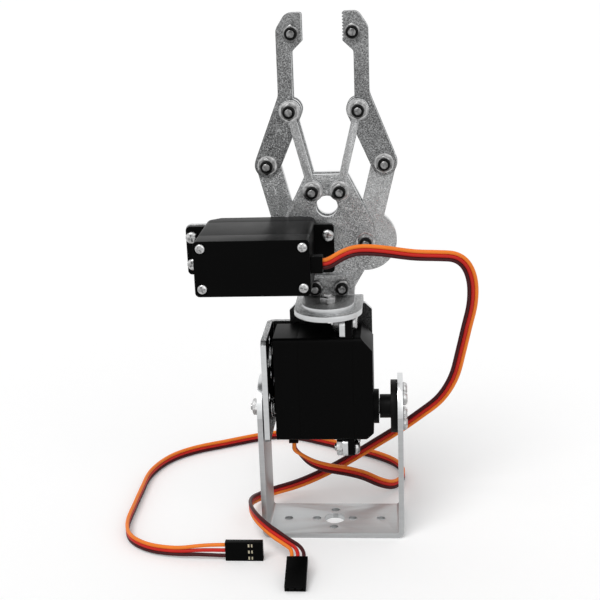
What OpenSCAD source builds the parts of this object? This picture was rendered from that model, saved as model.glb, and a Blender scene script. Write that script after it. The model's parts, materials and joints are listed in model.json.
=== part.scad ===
// Two finger gripper: an aluminium parallel claw on a servo tilt head in a U bracket.
// Origin: middle of the underside of the U bracket. +Z up, claw points up, front is -Y.

/* [U bracket] */
// Outside width of the U bracket
u_width = 54; // [50:1:70]
// Depth of the U bracket and width of the L bracket
strip_w = 25; // [24:1:30]
// Thickness of all bent sheet
sheet = 2; // [1.5:0.25:2.5]
// Height of the tilt axis above the base
pivot_h = 49; // [48:1:80]
// Outside radius of the bends
bend_r = 3; // [2.6:0.2:4]
// Centre hole of each hole pattern
hub_hole_d = 8; // [6:0.5:9]
// Pitch circle of the small holes round a centre hole
bolt_circle_d = 14; // [13:0.5:16]
// Diameter of the small holes
bolt_hole_d = 3.2; // [3.1:0.1:3.6]
// Distance between the two outer holes of the base
outer_pitch = 36; // [30:1:40]

/* [Servos] */
// Length of a servo case
case_l = 40.2; // [40:0.1:42]
// Width of a servo case
case_w = 19.8; // [19:0.1:20.5]
// Height of a servo case without its boss
case_h = 36.4; // [36:0.1:38]
// Height of the underside of the tabs
tab_z = 26.6; // [26:0.1:27.5]
// Thickness of the tabs
tab_t = 2.5; // [2:0.1:3]
// Reach of a tab beyond the end of the case
tab_out = 6.9; // [6.5:0.1:8]
// Width of the tabs
tab_w = 18; // [17:0.5:19]
// Distance of the tab holes from the end of the case
tab_hole_out = 4.65; // [4.2:0.05:5]
// Crosswise distance between the tab holes
tab_pitch_w = 10; // [9:0.5:11]
// Distance of the output shaft from the middle of the case
shaft_off = 10.15; // [9:0.05:11]
// Height of the bottom cover
cover_h = 9; // [8.5:0.5:12]
// Wall of the servo case
case_wall = 1.6; // [1.2:0.1:1.8]
// Diameter of the boss round the shaft
boss_d = 13; // [11:0.5:14]
// Height of the boss
boss_h = 1.9; // [1:0.1:2]
// Diameter of the output shaft
shaft_d = 5.9; // [5:0.1:6.5]
// Diameter of the horn disc
horn_d = 20; // [19:0.5:21]
// Thickness of the horn disc
horn_t = 2.6; // [2:0.1:3]
// Diameter of the horn hub
horn_hub_d = 9; // [8:0.25:9.5]

/* [Servo bracket] */
// Gap between the tilt servo and the panel behind it
panel_gap = 2.75; // [2.6:0.05:4]
// Height of the panel and the pivot flange
panel_h = 40; // [36:1:40]
// Half width of the panel's tongues
tongue_x = 15.7; // [12:0.1:18]
// Reach of the flange and ears in front of the servo's middle
ear_reach = 10; // [8.5:0.5:12]

/* [L bracket and foot] */
// Distance from the L bracket's bend to its hole centres
l_reach = 19; // [18.5:0.5:22]
// Width of the claw foot
foot_w = 19; // [17:0.5:22]
// Outer bend radius of the foot
foot_bend_r = 2.5; // [2.3:0.1:3]
// Height of the upright leg of the foot above its floor
foot_leg = 8; // [7:0.5:10]
// Distance between the two foot screws
foot_pitch = 10; // [8.5:0.5:12]

/* [Claw] */
// Height of the gear axes above the tilt axis
claw_rise = 62; // [61:0.5:66]
// Distance between the two gear axes
gear_space = 28; // [28:0.5:30]
// Teeth of a full gear of that size
gear_teeth = 20; // [18:1:24]
// Radius of the round, toothless side of a gear
gear_back_r = 11.5; // [11:0.1:12]
// Distance from gear axis to knuckle, and length of the links
arm_len = 30; // [27:0.5:34]
// Outward lean of the arms at rest
arm_lean = 14; // [11:0.5:20]
// Width of the arms
arm_w = 9; // [8:0.25:10]
// Thickness of the gear arms
arm_t = 3; // [2.5:0.1:4]
// Half distance between the two link pivots of the base
link_x = 5; // [4.6:0.1:6]
// Height of the link pivots above the gear axes
link_rise = 19.7; // [18.5:0.1:22]
// Width of the link bars
link_w = 3; // [2.4:0.1:4]
// Thickness of the link bars
link_t = 1.5; // [1:0.1:2]
// Diameter of the link eyes
link_eye_d = 8; // [7.2:0.1:8.6]
// Running gap between the layers of the claw
layer_gap = 0.3; // [0.2:0.05:0.5]
// Radius of the round end of a finger at its knuckle
knuckle_r = 4.6; // [4:0.1:5]
// Outer edge of a finger's bar, inwards from the knuckle
bar_out = 4.9; // [4:0.1:5.5]
// Inner edge of a finger's bar, inwards from the knuckle
bar_in = 10.2; // [9:0.1:11]
// Inner edge of a finger tip, inwards from the knuckle
jaw_in = 14; // [13:0.1:14.2]
// Teeth on the right finger's tip
tip_teeth = 8; // [5:1:12]
// Height of the tip screw above the knuckle
tip_rise = 46.8; // [44:0.2:50]
// Height of the front plate's arm that carries the servo
mount_w = 15.2; // [13:0.2:16]
// Diameter of the window between the gears
window_d = 8; // [6:0.5:9]

/* [Fasteners] */
// Diameter of the claw and bracket screws
screw_d = 3; // [2.5:0.5:3]
// Width across flats of their nuts
nut_af = 5.5; // [5:0.5:5.5]
// Running clearance between a pin and its hole
pin_gap = 0.05; // [0.03:0.01:0.08]

/* [Leads] */
// Width of the three-wire ribbon
ribbon_w = 4.2; // [3.9:0.1:4.5]
// Thickness of the ribbon
ribbon_t = 1.4; // [1.2:0.1:1.6]

/* [Hidden] */
$fn = 96;
ease = 0.1;                                  // clearance between pieces that are fastened together
seat = 0.3;                                  // gap beside a part that moves
screw_r = screw_d / 2;
hole_r = screw_r + pin_gap;
nut_r = nut_af / 2 / cos(30);
nut_h = 2.4;
collar_r = 2.3;
collar_h = 1.3;
head_r = 2.8;
head_h = 1.9;
washer_r = 3.6;
washer_t = 0.5;
tip_out = 0.8;                               // thread that shows beyond a nut

// Tilt head, along X from the left arm to the right arm
arm_in = u_width / 2 - sheet;
rim_t = 0.5;
rim_r = 4.7;
flange_x = -arm_in + rim_t;
bearing_r = 4;
bearing_w = 2.3;
bolt_head_h = 1.6;
tilt_x = flange_x + bearing_w + bolt_head_h + seat;
ear_x = tilt_x + tab_z;
horn_x = arm_in - horn_t;
tilt_hub_x = tilt_x + case_h + boss_h + seat;
servo_mid = pivot_h + shaft_off;
panel_y = case_w / 2 + panel_gap;
back_y = panel_y + sheet;
tab_end = case_l / 2 + tab_out;
tab_hole = case_l / 2 + tab_hole_out;
tab_row = tab_pitch_w / 2;
body_end = case_l / 2 + seat;

// Stack above the tilt servo
l_z = servo_mid + tab_hole + nut_af / 2 + seat;
foot_z = l_z + sheet;
floor_z = foot_z + sheet;
stack_y = back_y + sheet - l_reach;
foot_row = floor_z + foot_bend_r - sheet + nut_af / 2 + ease;

// Claw layers, along Y from the front link to the back link
gear_z = pivot_h + claw_rise;
axis_x = gear_space / 2;
leg_y = stack_y + foot_w / 2 - 1.1;
plate_y = leg_y + sheet;
arm_y = plate_y + sheet + layer_gap;
rear_y = arm_y + arm_t + layer_gap;
rear_end = rear_y + sheet;
front_link_y = plate_y - layer_gap - link_t;
rear_link_y = rear_end + layer_gap;
claw_y = plate_y - case_h;
link_z = gear_z + link_rise;
lean = [arm_len * sin(arm_lean), arm_len * cos(arm_lean)];
knuckle = [axis_x + lean[0], gear_z + lean[1]];
mid = [link_x + lean[0], link_z + lean[1]];
mid_in = knuckle[0] - mid[0];
mid_up = mid[1] - knuckle[1];
bar_start = 25;                              // where a finger turns upright, above its knuckle
tip_in = 10.5;                               // tip screw, inwards from the knuckle
tip = [knuckle[0] - tip_in, knuckle[1] + tip_rise];
window_z = gear_z + 13.5;
pillar_d = 4.6;
pillar_grip = 4.5;                           // thread of a servo screw in its pillar

// Gear teeth
gear_m = gear_space / gear_teeth;
pitch_r = axis_x;
base_r = pitch_r * cos(20);
tooth_tip_r = pitch_r + gear_m;
root_r = pitch_r - 1.2 * gear_m;
tooth_step = 360 / gear_teeth;
backlash = 0.5;

// Leads: points that each ribbon follows, with the direction of its orange wire
relief_out = 4;
relief_w = 6;
relief_t = 3.6;
relief_z = 5.6;
slot_depth = 0.8;
plug = [14, 7.6, 2.5];
claw_exit = [-axis_x + case_l / 2 - shaft_off + relief_out, claw_y + relief_z, gear_z];
tilt_exit = [tilt_x + relief_z, 0, servo_mid - case_l / 2 - relief_out];
claw_route = [
    [3.4, -22.9, 112, 0, 0, 1], [7, -22.6, 114, 0, 0, 1],
    [12, -22, 115.4, 0, 0, 1], [19.5, -20, 114.6, 0, 0, 1], [31, -16.5, 112, 0, 0, 1],
    [40, -13.5, 110.8, 0.1, 0, 1], [46, -11.5, 109.6, 0.5, 0, 1], [50, -9.5, 105.8, 1, 0, 0.8],
    [52.2, -7, 99, 1, 0, 0.2], [52.4, -3, 89.7, 1, 0, 0], [50.8, 1, 80, 1, 0, -0.1],
    [48.8, 6, 68, 1, 0, -0.2], [46.5, 10.5, 56.5, 1, 0, -0.5], [41.5, 14, 46.5, 0.9, 0, -0.9],
    [34, 16.8, 39, 0.8, 0, -1], [25, 19.8, 31, 0.6, 0, -1], [15, 22, 23.5, 0.5, 0, -1],
    [4, 24, 15.5, 0.4, 0, -1], [-7, 24.8, 9, 0.3, 0, -1], [-17, 24.6, 4.6, 0.1, 0, -1],
    [-26, 22, 2.9, 0, 0, -1], [-31.6, 15, 3.6, 0, 0, -1], [-33.2, 5, 6.6, 0, 0, -1],
    [-32, -6, 9.2, 0, 0, -1], [-28.6, -15.5, 10, -0.2, 0, -1], [-23, -23, 9, -0.5, 0, -0.8],
    [-16.8, -29, 7.8, -1, -0.6, -0.4], [-12.8, -33.4, 7.5, -1, -0.3, 0],
    [-11.5, -36.6, 6.7, -1, 0, 0], [-11.5, -38.5, 6, -1, 0, 0]];
tilt_route = [
    [-14.6, 0.3, 31.5, 0, -1, 0.1], [-12.6, 2, 28.4, 0.2, -0.9, 0.4],
    [-8.5, 5, 23.4, 0.3, -0.5, 0.8], [-3, 9.2, 19.2, 0, -0.2, 1], [4, 14, 15.6, 0, 0, 1],
    [11, 18.8, 11.4, 0, 0, 1], [17.5, 23.2, 6.2, 0, 0, 1], [22.8, 28, 2.9, 0, 0, 1],
    [26.4, 35, 2.3, 0, 0, 1], [26.8, 43, 2.3, 0, 0, 1], [23, 51.5, 2.3, 0, 0, 1],
    [14, 59.5, 2.3, 0, 0, 1], [2, 67, 2.3, 0, 0, 1], [-10, 74, 2.3, 0, 0, 1],
    [-21, 79.6, 2.3, 0, 0, 1], [-31, 80.8, 2.3, 0, 0, 1], [-41, 77, 2.3, 0, 0, 1],
    [-53, 70.8, 2.3, 0, 0, 1], [-66, 64, 2.3, 0, 0, 1], [-75.5, 54.5, 2.3, 0, 0, 1],
    [-81, 40, 2.3, 0, 0, 1], [-81.5, 24, 2.3, 0, 0, 1], [-81.4, 8, 2.3, 0, 0, 1],
    [-81, -6, 2.3, 0, 0, 1], [-77.5, -17, 2.3, 0, 0, 1], [-69, -24.5, 2.4, 0, 0, 1],
    [-58, -28, 2.8, 0, 0, 1], [-48, -29, 3.8, 0, 0, 1], [-39, -29, 3.8, 0, 0, 1]];

// ---- outlines ----
function unit(v) = v / norm(v);

// Points of an arc that rounds corner b of the path a, b, c with radius b[2]
function corner(a, b, c) =
    let (p = [b[0], b[1]], u = unit([a[0], a[1]] - p), v = unit([c[0], c[1]] - p),
        half = acos(u * v) / 2, o = p + unit(u + v) * b[2] / sin(half),
        s = p + u * b[2] / tan(half) - o, e = p + v * b[2] / tan(half) - o,
        a0 = atan2(s[1], s[0]), turn = atan2(s[0] * e[1] - s[1] * e[0], s * e),
        n = max(2, ceil(abs(turn) / 11)))
    b[2] == 0 ? [p] : [for (i = [0:n]) o + b[2] * [cos(a0 + turn * i / n), sin(a0 + turn * i / n)]];

// A closed outline whose points are [x, y, corner radius]
function rounded(p) = [for (i = [0:len(p) - 1])
    each corner(p[(i + len(p) - 1) % len(p)], p[i], p[(i + 1) % len(p)])];

function box_outline(x0, y0, x1, y1, r) = rounded([[x0, y0, r], [x1, y0, r], [x1, y1, r], [x0, y1, r]]);

// ---- placing ----
// An outline in X and Z, made solid from y0 to y1
module slab(y0, y1) { translate([0, y1, 0]) rotate([90, 0, 0]) linear_extrude(y1 - y0) children(); }

// An outline in Y and Z, made solid from x0 to x1
module sheet_x(x0, x1) {
    translate([x0, 0, 0]) rotate([90, 0, 90]) linear_extrude(x1 - x0) children();
}

module rod_y(x, z, y0, y1, r) { translate([x, y0, z]) rotate([-90, 0, 0]) cylinder(h = y1 - y0, r = r); }
module rod_x(y, z, x0, x1, r) { translate([x0, y, z]) rotate([0, 90, 0]) cylinder(h = x1 - x0, r = r); }

module at_tilt() { translate([tilt_x, 0, pivot_h]) rotate([0, 90, 0]) children(); }
module at_claw() { translate([-axis_x, claw_y, gear_z]) rotate([-90, 0, 0]) children(); }

// Both sides of the claw: the left side mirrors the right one
module side(left) { mirror([left ? 1 : 0, 0, 0]) children(); }

// ---- fasteners, each along +Z from the face that its head or nut rests on ----
module screw(length, r = screw_r, head = head_r, height = head_h) {
    translate([0, 0, -height]) cylinder(h = height * 0.55, r1 = head * 0.75, r2 = head);
    translate([0, 0, -height * 0.45]) cylinder(h = height * 0.45, r = head);
    cylinder(h = length, r = r);
}

module lock_nut(bore = screw_r + ease / 2) {
    difference() {
        union() {
            rotate(30) cylinder(h = nut_h, r = nut_r, $fn = 6);
            cylinder(h = nut_h + collar_h, r = collar_r);
        }
        translate([0, 0, -1]) cylinder(h = nut_h + collar_h + 2, r = bore);
    }
}

module plain_nut(h = nut_h) {
    difference() {
        rotate(30) cylinder(h = h, r = nut_r, $fn = 6);
        translate([0, 0, -1]) cylinder(h = h + 2, r = screw_r + ease / 2);
    }
}

module ring(h, outer, inner) {
    difference() {
        cylinder(h = h, r = outer);
        translate([0, 0, -1]) cylinder(h = h + 2, r = inner);
    }
}

// A claw bolt with its head at the back, its nut at the front
module bolt_y(p, front, back) { translate([p[0], back, p[1]]) rotate([90, 0, 0]) screw(back - front); }
module nut_y(p, y, turn = 0) { translate([p[0], y, p[1]]) rotate([90, turn, 0]) lock_nut(); }
module washer_y(p, y) {
    translate([p[0], y, p[1]]) rotate([90, 0, 0]) ring(washer_t, washer_r, screw_r + ease / 2);
}
module tube_y(p, y0, y1, r) {
    translate([p[0], y0, p[1]]) rotate([-90, 0, 0]) ring(y1 - y0, r, screw_r + ease / 2);
}

// ---- hole patterns ----
module pattern(turn = 0) {
    circle(d = hub_hole_d);
    for (a = [0:90:270]) rotate(a + turn) translate([bolt_circle_d / 2, 0]) circle(d = bolt_hole_d);
}

// ---- U bracket and its fixed pieces ----
module u_bracket() {
    color("lightgray") difference() {
        intersection() {
            slab(-strip_w / 2, strip_w / 2) difference() {
                polygon(rounded([[-u_width / 2, 0, bend_r], [u_width / 2, 0, bend_r],
                    [u_width / 2, pivot_h + strip_w, 0], [-u_width / 2, pivot_h + strip_w, 0]]));
                polygon(rounded([[-arm_in, sheet, bend_r - sheet], [arm_in, sheet, bend_r - sheet],
                    [arm_in, pivot_h + strip_w + 1, 0], [-arm_in, pivot_h + strip_w + 1, 0]]));
            }
            sheet_x(-u_width, u_width) union() {
                translate([-strip_w / 2, -1]) square([strip_w, pivot_h + 1]);
                translate([0, pivot_h]) circle(d = strip_w);
            }
        }
        translate([0, 0, -1]) linear_extrude(sheet + 2) {
            pattern();
            for (s = [-1, 1]) translate([s * outer_pitch / 2, 0]) circle(d = bolt_hole_d);
        }
        sheet_x(arm_in - 1, u_width) translate([0, pivot_h]) pattern(45);
        rod_x(0, pivot_h, -u_width, -arm_in + 1, screw_r + ease / 2);
    }
}

// A round horn along +Z: hub first, then the disc, seat of the disc at z = hub_h + horn_t
module horn(hub_h) {
    difference() {
        union() {
            cylinder(h = hub_h + horn_t, d = horn_hub_d);
            translate([0, 0, hub_h]) cylinder(h = horn_t, d = horn_d);
        }
        translate([0, 0, -1]) cylinder(h = hub_h + horn_t - 0.2, d = shaft_d + ease);
        cylinder(h = hub_h + horn_t + 1, r = screw_r + ease / 2);
        for (a = [45:90:315]) rotate(a) translate([bolt_circle_d / 2, 0, hub_h - 1])
            cylinder(h = horn_t + 2, r = 1 + ease / 2);
    }
}

module tilt_horn() {
    color("dimgray") translate([tilt_hub_x, 0, pivot_h]) rotate([0, 90, 0])
        horn(horn_x - tilt_hub_x);
}

module tilt_horn_screws() {
    color("silver") {
        for (a = [45:90:315]) translate([u_width / 2, 0, pivot_h]) rotate([a, 0, 0])
            translate([0, bolt_circle_d / 2, 0]) rotate([0, -90, 0])
                screw(sheet + horn_t, 1, 2.6, 1.7);
        translate([arm_in, 0, pivot_h]) rotate([0, -90, 0]) screw(horn_t + 2.2, screw_r, 2.6, 1.7);
    }
}

// Output shaft with its last gear; a tapped hole takes the horn screw
module output_shaft(top) {
    difference() {
        union() {
            translate([0, 0, tab_z - 2.4]) cylinder(h = top - tab_z + 2.4, d = shaft_d);
            translate([0, 0, tab_z + tab_t + 0.3]) linear_extrude(2.6) small_gear(out_gear_r, 22);
        }
        translate([0, 0, top - 4]) cylinder(h = 5, r = screw_r + ease / 2);
    }
}

// A fine-toothed gear outline with its tips at radius r
module small_gear(r, teeth) {
    step = 360 / teeth;
    polygon([for (i = [0:teeth - 1]) each [
        (r - 0.8) * [cos((i - 0.32) * step), sin((i - 0.32) * step)],
        r * [cos((i - 0.12) * step), sin((i - 0.12) * step)],
        r * [cos((i + 0.12) * step), sin((i + 0.12) * step)],
        (r - 0.8) * [cos((i + 0.32) * step), sin((i + 0.32) * step)]]]);
}

module tilt_shaft() { color("gold") at_tilt() output_shaft(horn_x - tilt_x); }

module pivot_bolt() {
    color("silver") translate([flange_x + bearing_w, 0, pivot_h]) rotate([0, -90, 0])
        screw(u_width / 2 + flange_x + bearing_w + washer_t + nut_h + tip_out,
            screw_r, head_r, bolt_head_h);
}

module pivot_washer() {
    color("silver") translate([-u_width / 2, 0, pivot_h]) rotate([0, -90, 0])
        ring(washer_t, 4.4, screw_r + ease / 2);
}

module pivot_nut() {
    color("silver") translate([-u_width / 2 - washer_t, 0, pivot_h]) rotate([0, -90, 0]) plain_nut();
}

module pivot_bearing_inner() {
    color("silver") translate([-arm_in, 0, pivot_h]) rotate([0, 90, 0])
        ring(rim_t + bearing_w, 2.35, screw_r + ease / 2);
}

module pivot_bearing_outer() {
    color("silver") translate([flange_x, 0, pivot_h]) rotate([0, 90, 0]) difference() {
        union() {
            cylinder(h = bearing_w, r = bearing_r);
            translate([0, 0, -rim_t + 0.1]) cylinder(h = rim_t - 0.1, r = rim_r);
        }
        translate([0, 0, -1]) cylinder(h = bearing_w + 2, r = 3.4);
    }
}

module pivot_bearing_balls() {
    color("silver") for (i = [0:6]) translate([flange_x + bearing_w / 2, 0, pivot_h])
        rotate([i * 360 / 7, 0, 0]) translate([0, 2.875, 0]) sphere(r = 0.48);
}

// ---- servo bracket ----
module servo_bracket() {
    ear_top = tab_end - 0.2;
    color("silver") difference() {
        union() {
            // pivot flange and panel, bent from one sheet
            translate([0, 0, servo_mid - panel_h / 2]) linear_extrude(panel_h) difference() {
                polygon(rounded([[flange_x, -strip_w / 2, 0], [flange_x, back_y, bend_r],
                    [tongue_x, back_y, 0], [tongue_x, panel_y, 0],
                    [flange_x + sheet, panel_y, bend_r - sheet], [flange_x + sheet, -strip_w / 2, 0]]));
            }
            // tongues that reach the ears
            slab(panel_y, back_y) polygon([for (s = [[-1, -1], [1, -1], [1, 1], [-1, 1]], k = [0, 1])
                let (c = s[0] * s[1] > 0 ? 1 - k : k) [s[0] * (tongue_x - (1 - c) * 2.5),
                    servo_mid + s[1] * (ear_top - c * 2.5)]]);
            // ears for the servo tabs
            for (s = [-1, 1]) sheet_x(ear_x - sheet, ear_x) polygon(rounded([
                [back_y, servo_mid + s * body_end, 0], [-ear_reach, servo_mid + s * body_end, 1],
                [-ear_reach, servo_mid + s * ear_top, 2], [back_y, servo_mid + s * ear_top, 0]]));
        }
        rod_x(0, pivot_h, flange_x - 1, flange_x + sheet + 1, bearing_r);
        sheet_x(flange_x - 1, flange_x + sheet + 1) {
            translate([0, pivot_h + 20]) pattern();
            for (s = [-1, 1]) translate([s * 8.5, pivot_h + 7]) circle(d = bolt_hole_d);
        }
        slab(panel_y - 1, back_y + 1) translate([-8.5, servo_mid - 9]) square([17, 3.2]);
        slab(panel_y - 1, back_y + 1) translate([0, l_z + sheet - l_reach]) pattern();
        for (s = [-1, 1], t = [-1, 1])
            rod_x(s * tab_row, servo_mid + t * tab_hole, ear_x - sheet - 1, ear_x + 1, hole_r);
        // trimmed corners of the flange
        for (s = [-1, 1]) sheet_x(flange_x - 1, flange_x + sheet + 1)
            polygon([[-strip_w / 2 - 1, servo_mid + s * (panel_h / 2 - 2.5)],
                [-strip_w / 2 - 1, servo_mid + s * (panel_h / 2 + 1)],
                [-strip_w / 2 + 2.5, servo_mid + s * (panel_h / 2 + 1)]]);
    }
}

module each_head_screw() {
    for (s = [-1, 1], t = [-1, 1]) translate([ear_x, s * tab_row, servo_mid + t * tab_hole])
        rotate([0, -90, 0]) children(0);
    for (s = [-1, 1]) translate([s * bolt_circle_d / 2, panel_y, l_z + sheet - l_reach])
        rotate([-90, 0, 0]) children(1);
}

module head_screws() {
    color("silver") each_head_screw() {
        translate([0, 0, -tab_t]) screw(tab_t + sheet + nut_h + tip_out);
        screw(2 * sheet + nut_h + tip_out);
    }
}

module head_nuts() {
    color("silver") each_head_screw() {
        translate([0, 0, sheet]) plain_nut();
        translate([0, 0, 2 * sheet]) plain_nut();
    }
}

// ---- L bracket and foot ----
module round_end(w, reach) {
    circle(d = w);
    translate([-w / 2, 0]) square([w, reach]);
}

module l_bracket() {
    far = back_y + sheet;
    run = l_reach - bend_r;
    color("silver") difference() {
        union() {
            translate([0, stack_y, l_z]) linear_extrude(sheet) round_end(strip_w, run);
            slab(back_y, far) translate([0, l_z + sheet - l_reach]) round_end(strip_w, run);
            sheet_x(-strip_w / 2, strip_w / 2) intersection() {
                translate([far - bend_r, l_z + sheet - bend_r]) difference() {
                    circle(r = bend_r);
                    circle(r = bend_r - sheet);
                }
                translate([far - bend_r, l_z + sheet - bend_r]) square(bend_r);
            }
        }
        translate([0, stack_y, l_z - 1]) linear_extrude(sheet + 2)
            for (a = [45:90:315]) rotate(a) translate([bolt_circle_d / 2, 0]) circle(d = bolt_hole_d);
        translate([0, stack_y, l_z - 1]) cylinder(h = sheet + 2, r = screw_r + ease / 2);
        translate([0, stack_y, l_z]) cylinder(h = 1.4, r1 = 2.9, r2 = screw_r + ease / 2);
        slab(back_y - 1, far + 1) translate([0, l_z + sheet - l_reach]) pattern();
    }
}

module claw_foot() {
    color("silver") difference() {
        union() {
            translate([0, stack_y, foot_z]) linear_extrude(sheet)
                round_end(foot_w, plate_y - foot_bend_r - stack_y);
            slab(leg_y, plate_y) polygon(rounded([
                [-foot_w / 2, foot_z + foot_bend_r, 0], [foot_w / 2, foot_z + foot_bend_r, 0],
                [foot_w / 2, floor_z + foot_leg, 2], [-foot_w / 2, floor_z + foot_leg, 2]]));
            sheet_x(-foot_w / 2, foot_w / 2) intersection() {
                translate([plate_y - foot_bend_r, foot_z + foot_bend_r]) difference() {
                    circle(r = foot_bend_r);
                    circle(r = foot_bend_r - sheet);
                }
                translate([plate_y - foot_bend_r, foot_z]) square(foot_bend_r);
            }
        }
        translate([0, stack_y, foot_z - 1]) cylinder(h = sheet + 2, r = screw_r + ease / 2);
        for (s = [-1, 1]) rod_y(s * foot_pitch / 2, foot_row, leg_y - 1, plate_y + 1, hole_r);
    }
}

module foot_centre_screw() {
    color("silver") translate([0, stack_y, l_z + 0.05]) {
        cylinder(h = 1.25, r1 = 2.75, r2 = screw_r);
        cylinder(h = 2 * sheet + nut_h + tip_out, r = screw_r);
    }
}

// ---- claw plates ----
// Right edge of both plates from the top down, about the height of the gear axes
plate_edge = [[7.6, link_rise + 5.6, 1.5], [axis_x + 2.6, 7.5, 5], [axis_x + 4, -2, 6],
    [axis_x + 0.2, -9.6, 4],
    [foot_w / 2, foot_z - gear_z + 4.5, 1.5], [foot_w / 2, foot_z - gear_z + 1.2, 1]];

// Both plates' outline; arm holds the points that take the place of the left shoulder
function left_edge(points) = [for (i = points) let (p = plate_edge[i]) [-p[0], p[1], p[2]]];
function plate_outline(arm = left_edge([2, 1])) =
    [for (p = concat(plate_edge, left_edge([5, 4, 3]), arm, left_edge([0]))) [p[0], p[1] + gear_z, p[2]]];

module plate_holes() {
    for (s = [-1, 1]) {
        translate([s * link_x, link_z]) circle(r = hole_r);
        translate([s * foot_pitch / 2, foot_row]) circle(r = hole_r);
    }
    translate([axis_x, gear_z]) circle(r = hole_r);
    translate([0, window_z]) circle(d = window_d);
}

pillar_x = [-axis_x - shaft_off - tab_hole, -axis_x - shaft_off + tab_hole];

module front_plate() {
    color("silver") slab(plate_y, plate_y + sheet) difference() {
        polygon(rounded(plate_outline([[-axis_x - 1.2, -mount_w / 2, 0], [pillar_x[0] - 4, -mount_w / 2, 2],
            [pillar_x[0] - 4, mount_w / 2, 2], [-axis_x - 2.6, mount_w / 2, 0]])));
        plate_holes();
        translate([-axis_x, gear_z]) circle(d = boss_d + 0.4);
        for (x = pillar_x, s = [-1, 1]) translate([x, gear_z + s * tab_row]) circle(r = 1.6);
    }
}

module back_plate() {
    color("silver") slab(rear_y, rear_end) difference() {
        polygon(rounded(plate_outline()));
        plate_holes();
        translate([-axis_x, gear_z]) circle(d = horn_d + 1.6);
    }
}

module each_plate_bolt() {
    for (s = [-1, 1]) {
        translate([s * link_x, 0, link_z]) children(0);
        translate([s * foot_pitch / 2, 0, foot_row]) children(1);
    }
    translate([axis_x, 0, gear_z]) children(2);
}

module plate_spacers() {
    color("silver") each_plate_bolt() {
        tube_y([0, 0], plate_y + sheet, rear_y, pillar_d / 2);
        tube_y([0, 0], plate_y + sheet, rear_y, pillar_d / 2);
        union() {}
    }
}

link_nut_y = front_link_y - layer_gap - washer_t;
function bolt_tip(y) = y - nut_h - collar_h - tip_out;

module plate_bolts() {
    color("silver") each_plate_bolt() {
        bolt_y([0, 0], bolt_tip(link_nut_y), rear_link_y + link_t + layer_gap);
        bolt_y([0, 0], bolt_tip(leg_y), rear_end);
        bolt_y([0, 0], bolt_tip(plate_y - washer_t), rear_end);
    }
}

module plate_nuts() {
    color("gray") {
        each_plate_bolt() {
            nut_y([0, 0], link_nut_y);
            nut_y([0, 0], leg_y, 30);
            nut_y([0, 0], plate_y - washer_t);
        }
        translate([0, stack_y, floor_z]) plain_nut();
    }
}

module plate_washers() {
    color("silver") each_plate_bolt() {
        washer_y([0, 0], link_nut_y + washer_t);
        union() {}
        washer_y([0, 0], plate_y);
    }
}

module servo_pillars() {
    top = claw_y + tab_z + tab_t;
    color("silver") for (x = pillar_x, s = [-1, 1]) difference() {
        union() {
            rod_y(x, gear_z + s * tab_row, top, plate_y, pillar_d / 2);
            rod_y(x, gear_z + s * tab_row, plate_y, plate_y + sheet, 1.55);
        }
        rod_y(x, gear_z + s * tab_row, top - 1, top + pillar_grip + 0.5, 1.25 + ease / 2);
    }
}

module pillar_screws() {
    color("silver") for (x = pillar_x, s = [-1, 1])
        translate([x, claw_y + tab_z, gear_z + s * tab_row]) rotate([-90, 0, 0])
            screw(tab_t + pillar_grip, 1.25, 2.3, 1.6);
}

// ---- servo: shaft on Z, bottom at z = 0, long end towards -X ----
case_x0 = -shaft_off - case_l / 2;
case_x1 = -shaft_off + case_l / 2;
post = 4.6;
motor_r = 7.2;
motor_x = case_x0 + case_wall + motor_r + 1.8;   // motor axis
pinion_r = 1.8;
out_gear_r = case_x1 - case_wall - 1.35;        // gear on the output shaft
double_r = 3.5;                                 // small side of the double gear
double_x = -out_gear_r - 0.3 - double_r;
double_big_r = double_x - motor_x - pinion_r - 0.65;
sensor_r = 4.6;

module case_outline(r = 1.6) { polygon(box_outline(case_x0, -case_w / 2, case_x1, case_w / 2, r)); }

module case_cavity() {
    w = case_wall;
    difference() {
        translate([case_x0 + w, -case_w / 2 + w]) square([case_l - 2 * w, case_w - 2 * w]);
        for (x = [case_x0, case_x1 - post], y = [-case_w / 2, case_w / 2 - post])
            translate([x, y]) square(post);
    }
}

module case_screw_spots() {
    for (x = [case_x0 + 2.5, case_x1 - 2.5], y = [-case_w / 2 + 2.7, case_w / 2 - 2.7])
        translate([x, y, 0]) children();
}

module servo_cover() {
    color([0.09, 0.09, 0.1]) difference() {
        linear_extrude(cover_h) case_outline();
        translate([0, 0, case_wall]) linear_extrude(cover_h) case_cavity();
        translate([case_x1 - case_wall - 1, -relief_w / 2, relief_z - relief_t / 2])
            cube([case_wall + 2, relief_w, relief_t]);
        case_screw_spots() {
            translate([0, 0, -1]) cylinder(h = cover_h + 2, r = 1 + ease / 2);
            translate([0, 0, -1]) cylinder(h = 2, r = 2);
        }
    }
}

module servo_case() {
    color([0.09, 0.09, 0.1]) difference() {
        union() {
            translate([0, 0, cover_h]) linear_extrude(tab_z + tab_t - cover_h) case_outline();
            translate([0, 0, tab_z]) linear_extrude(tab_t) polygon(box_outline(
                -shaft_off - tab_end, -tab_w / 2, -shaft_off + tab_end, tab_w / 2, 1.5));
        }
        translate([0, 0, cover_h - 1]) linear_extrude(tab_z - cover_h - 0.5) case_cavity();
        cylinder(h = tab_z + tab_t + 1, d = shaft_d + 0.6);
        translate([motor_x, 0, 0]) cylinder(h = tab_z + tab_t + 1, r = 2.6);
        case_screw_spots() cylinder(h = tab_z + tab_t + 1, r = 1 + ease / 2);
        for (s = [-1, 1], t = [-1, 1]) translate([-shaft_off + s * tab_hole, t * tab_row, tab_z - 1]) {
            cylinder(h = tab_t + 2, r = 2.1);
            translate([s > 0 ? 0 : -5, -0.8, 0]) cube([5, 1.6, tab_t + 2]);
        }
    }
}

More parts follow.
